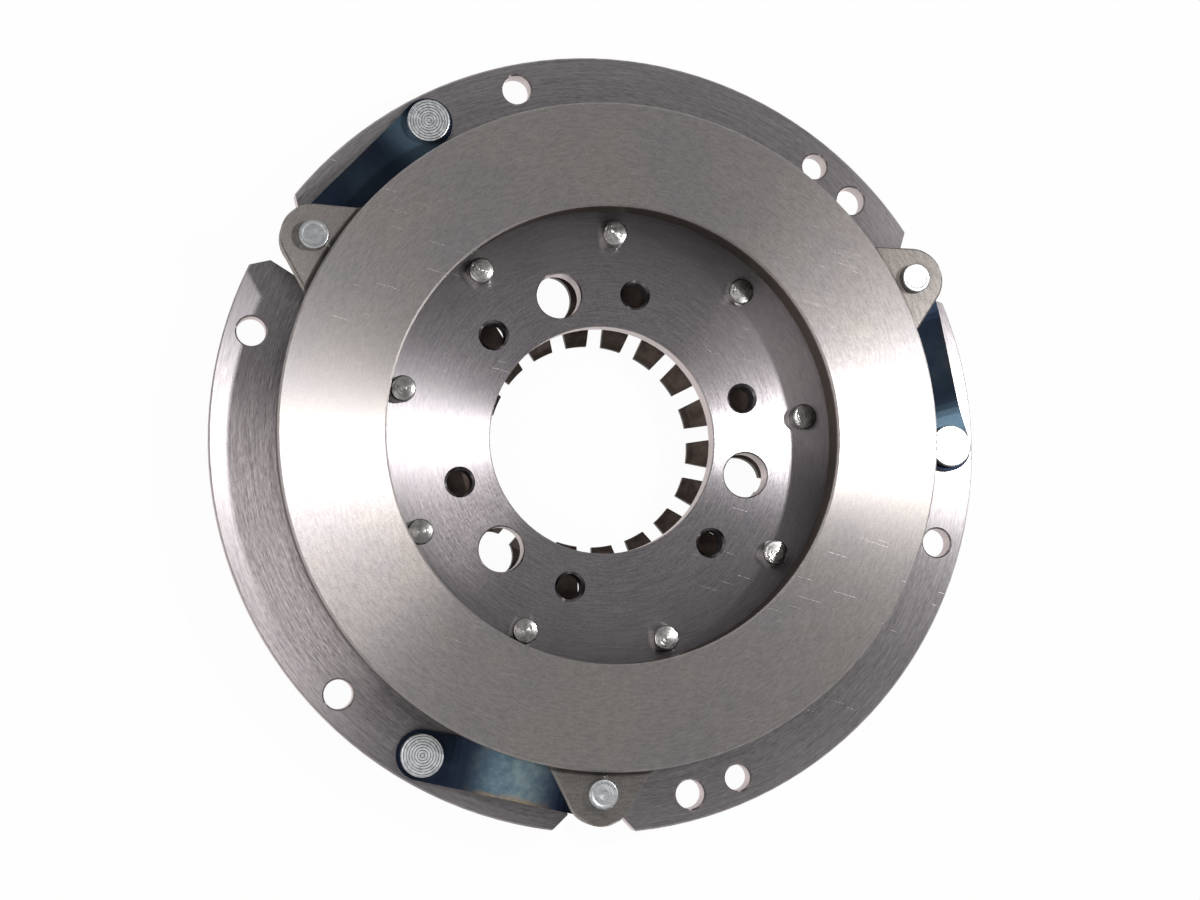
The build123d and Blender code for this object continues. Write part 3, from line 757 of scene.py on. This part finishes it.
def strap_tree():
    """Presses a flat leaf to its S, gives it its thickness, and lays it in its pack on the cover."""
    tree, given = new_tree("pressed_strap_leaf", {
        "Thickness": "Float", "Bend radius": "Float", "Bend start": "Float", "Bend run": "Float",
        "Slope": "Float", "Length": "Float", "Width": "Float", "Height in pack": "Float",
        "Place": "Vector", "Heading": "Float", "Heat and reflection tint": "Float"})
    radius = given["Bend radius"]
    start = given["Bend start"]
    run = given["Bend run"]
    far = given["Length"] - start - run
    shape = given["Geometry"]
    spot = shape.node("GeometryNodeInputPosition", {})
    x, y, _ = axes(spot)
    first = (x - start).math("MAXIMUM", 0.0).math("MINIMUM", run)
    straight = (x - start - run).math("MAXIMUM", 0.0).math("MINIMUM", far - start - run)
    last = run - (x - far).math("MAXIMUM", 0.0).math("MINIMUM", run)
    up_first = radius - (radius * radius - first * first).math("SQRT")
    up_straight = straight * given["Slope"].math("TANGENT")
    up_last = (radius * radius - last * last).math("SQRT") - radius * given["Slope"].math("COSINE")
    notes = {"along_strap": x / given["Length"], "heat_and_reflection_tint": given["Heat and reflection tint"],
             "across_strap": y / (given["Width"] / 2.0)}
    for label, value in notes.items():
        shape = shape.node("GeometryNodeStoreNamedAttribute", {
            "Geometry": shape, "Name": label, "Value": value}, {"data_type": "FLOAT", "domain": "POINT"})
    lift = spot.node("ShaderNodeCombineXYZ", {2: up_first + up_straight + up_last})
    pressed = shape.node("GeometryNodeSetPosition", {"Geometry": shape, "Offset": lift})
    closed = slab(pressed, given["Thickness"])
    stacked = closed.node("GeometryNodeTransform", {
        "Geometry": closed, "Translation": closed.node("ShaderNodeCombineXYZ", {2: given["Height in pack"]})})
    laid = stacked.node("GeometryNodeTransform", {
        "Geometry": stacked, "Translation": given["Place"],
        "Rotation": stacked.node("ShaderNodeCombineXYZ", {2: given["Heading"]})})
    return ended(tree, softened(laid, 24), given["Finish"])


strap_pressing = strap_tree()
plan_points, plan_faces = leaf_plan()
for strap in range(3):
    turn = radians(120.0 * strap)
    foot = Matrix.Rotation(turn, 2) @ (cover_end / 1000.0)
    for leaf in range(3):
        leaf_name = f"strap_{strap + 1}_leaf_{leaf + 1}"
        piece = blank(f"{leaf_name}_pressed", plan_points, faces=plan_faces)
        baked(piece, strap_pressing, {
            "Thickness": leaf_t, "Bend radius": strap_bend_r, "Bend start": bend_start,
            "Bend run": bend_run, "Slope": slope, "Length": strap_l, "Width": strap_w,
            "Height in pack": leaf * leaf_pitch, "Place": (foot.x, foot.y, 0.0),
            "Heading": strap_heading + turn, "Heat and reflection tint": heat_and_reflection_tints[strap], "Finish": blue_metal})
        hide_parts(leaf_name)
        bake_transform(piece)

# The strap rivets: on the cover a broad head turned with rings, on the lug a pin left by the riveting.
# Both are bright plated steel, soiled in the rings' grooves and dulled on the pins, and both have a
# formed head behind the straps or the cover.
plated_dark, plated_pale = (0.37, 0.39, 0.405, 1), (0.70, 0.72, 0.735, 1)
pin_dull = (0.22, 0.225, 0.23, 1)
groove_soil = (0.05, 0.05, 0.052, 1)
ring_count = 7
ring_depth = 0.09
ring_pitch = 0.0059 / ring_count
plated_metal, plated_shader, place = steel("zinc_plated_steel", roughness=0.3)
head = carried(place, "on_rivet", output=1)
chance = carried(place, "rivet_chance")
rings = around_axis(head, radial=5200.0, around=0.4, shift=chance * 30.0).noise(scale=1.0, detail=1.0)
tool_marks = around_axis(head, radial=17000.0, around=8.0, shift=chance * 30.0).noise(scale=1.0, detail=1.0)
spots = place.noise(scale=750.0, detail=4.0, rough=0.6)
tone = rings * 0.25 + spots.step(0.3, 0.7) * 0.6 + chance * 0.15
x, y, lift = axes(head)
from_axis = (x * x + y * y).math("SQRT")
ring_share = (from_axis / ring_pitch).math("FRACT")
soiled = ring_share.step(0.66, 0.78) * (1.0 - ring_share.step(0.94, 1.0))
soiled = soiled * (1.0 - from_axis.step(0.0057, 0.0061)) * (1.0 - lift.step(0.008, 0.012))
worn = lift.step(0.012, 0.014) * (0.2 + spots.step(0.42, 0.58) * 0.5)
plated = worn.tint(tone.tint(plated_dark, plated_pale), pin_dull)
feed(plated_shader, "Base Color", (soiled * 0.6).tint(plated, groove_soil))
feed(plated_shader, "Roughness", 0.26 + spots * 0.16)
lean = (tool_marks - 0.5) * 0.25 + (rings - 0.5) * 0.15
grooves(plated_shader, spots, 0.00002, leaning(head, lean))
pack_top = 2.2
head_r = 6.6
head_top = pack_top + 3.3
shank_r = 4.0
rear_head_r = 6.0
rear_head_low = -9.4
rear_head_high = -7.0
lug_head_r = 6.5
lug_head_low = 5.8
lug_head_high = 8.8
pin_r = 4.5
pin_top = 21.3
turned_rings = []
for ring in range(ring_count - 1, -1, -1):
    for share, cut in ((0.98, 0.0), (0.85, ring_depth), (0.70, 0.0), (0.02, 0.0)):
        turned_rings.append((1000.0 * ring_pitch * (ring + share), head_top - cut))
turned_rings.append((0.0, head_top))
cover_strap_profile = (
    [(0.0, rear_head_low)]
    + rounded(rear_head_r, rear_head_low, 0.5, False)
    + [(rear_head_r, rear_head_high), (shank_r, rear_head_high), (shank_r, pack_top)]
    + rounded(head_r, pack_top, 0.12, False)
    + rounded(head_r, head_top, 0.45)
    + turned_rings
)
cover_strap_rivets = turned(
    "cover_strap_rivets", cover_strap_profile, sides=72, count=3, circle=cover_circle,
    first_angle=cover_rivet_angle, seed=5, metal=plated_metal)
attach(cover_strap_rivets, "cover")
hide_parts(*[f"cover_strap_rivet_{number}" for number in range(1, 4)])
lug_rivet_profile = (
    [(0.0, lug_head_low)]
    + rounded(lug_head_r, lug_head_low, 0.5, False)
    + rounded(lug_head_r, lug_head_high, 0.15)
    + [(pin_r, lug_head_high)]
    + rounded(pin_r, pin_top, 0.4)
    + [(3.6, pin_top), (3.1, 21.24), (1.6, 21.27), (0.0, 21.2)]
)
lug_rivets = turned(
    "lug_rivets", lug_rivet_profile, sides=56, count=3, circle=lug_circle,
    first_angle=lug_rivet_angle, seed=9, metal=plated_metal)
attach(lug_rivets, "plate")
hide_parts(*[f"lug_rivet_{number}" for number in range(1, 4)])

# The pale floor that the clutch lies on. The camera and the metal's reflections see it as nearly
# plain white, with a trace of shadow, and to all other light it is matt paint.
floor_z = solids_box[0][2] - 0.0002
floor_half = 3.0
floor_mesh = bpy.data.meshes.new("pale_floor")
corners = [(floor_half * x, floor_half * y, floor_z) for x, y in ((-1, -1), (1, -1), (1, 1), (-1, 1))]
floor_mesh.from_pydata(corners, [], [(0, 1, 2, 3)])
floor = bpy.data.objects.new("pale_floor", floor_mesh)
bpy.context.scene.collection.objects.link(floor)
floor_paint = bpy.data.materials.new("pale_floor_paint")
floor_paint.use_nodes = True
nodes = floor_paint.node_tree.nodes
paint = nodes["Principled BSDF"]
paint.inputs["Base Color"].default_value = (0.9, 0.9, 0.9, 1)
paint.inputs["Roughness"].default_value = 0.9
ray = nodes.new("ShaderNodeLightPath")
white = nodes.new("ShaderNodeEmission")
seen = Wire(floor_paint.node_tree, ray.outputs["Is Camera Ray"])
seen = seen + Wire(floor_paint.node_tree, ray.outputs["Is Glossy Ray"])
mixed = seen.node("ShaderNodeMixShader", {
    0: (seen * 0.96).clamped(),
    1: Wire(seen.tree, paint.outputs[0]),
    2: Wire(seen.tree, white.outputs[0]),
})
seen.tree.links.new(mixed.socket, nodes["Material Output"].inputs["Surface"])
floor_mesh.materials.append(floor_paint)


# Studio light: one small hard lamp high on the right, one broad soft lamp high on the left, and a
# dim room whose ceiling is darker than the tops of its walls.
def lamp(name, place, size, power, colour=(1, 1, 1)):
    """A round lamp that faces the middle of the part."""
    data = bpy.data.lights.new(name, "AREA")
    data.shape = "DISK"
    data.size = size
    data.energy = power
    data.color = colour
    made = bpy.data.objects.new(name, data)
    made.location = place
    made.rotation_euler = Vector(place).to_track_quat("Z", "Y").to_euler()
    bpy.context.scene.collection.objects.link(made)


low_wall = (0.25, 0.25, 0.25, 1)
high_wall = (0.60, 0.60, 0.60, 1)
ceiling_grey = (0.35, 0.35, 0.35, 1)
lamp("hard_lamp", (0.3562, 0.1937, 0.767), size=0.05, power=2.8)
lamp("soft_lamp", (-0.297, -0.19, 0.872), size=0.5, power=1.75, colour=(1.0, 0.95, 0.915))
world = bpy.data.worlds.new("studio")
bpy.context.scene.world = world
world.use_nodes = True
sky = world.node_tree.nodes["Background"]
direction = Wire(world.node_tree, world.node_tree.nodes.new("ShaderNodeTexCoord").outputs["Generated"])
_, _, height = axes(direction)
room = height.step(0.3, 0.6).tint(low_wall, height.step(0.75, 0.95).tint(high_wall, ceiling_grey))
camera_ray = Wire(world.node_tree, world.node_tree.nodes.new("ShaderNodeLightPath").outputs["Is Camera Ray"])
feed(sky, "Color", camera_ray.tint(room, (1, 1, 1, 1)))
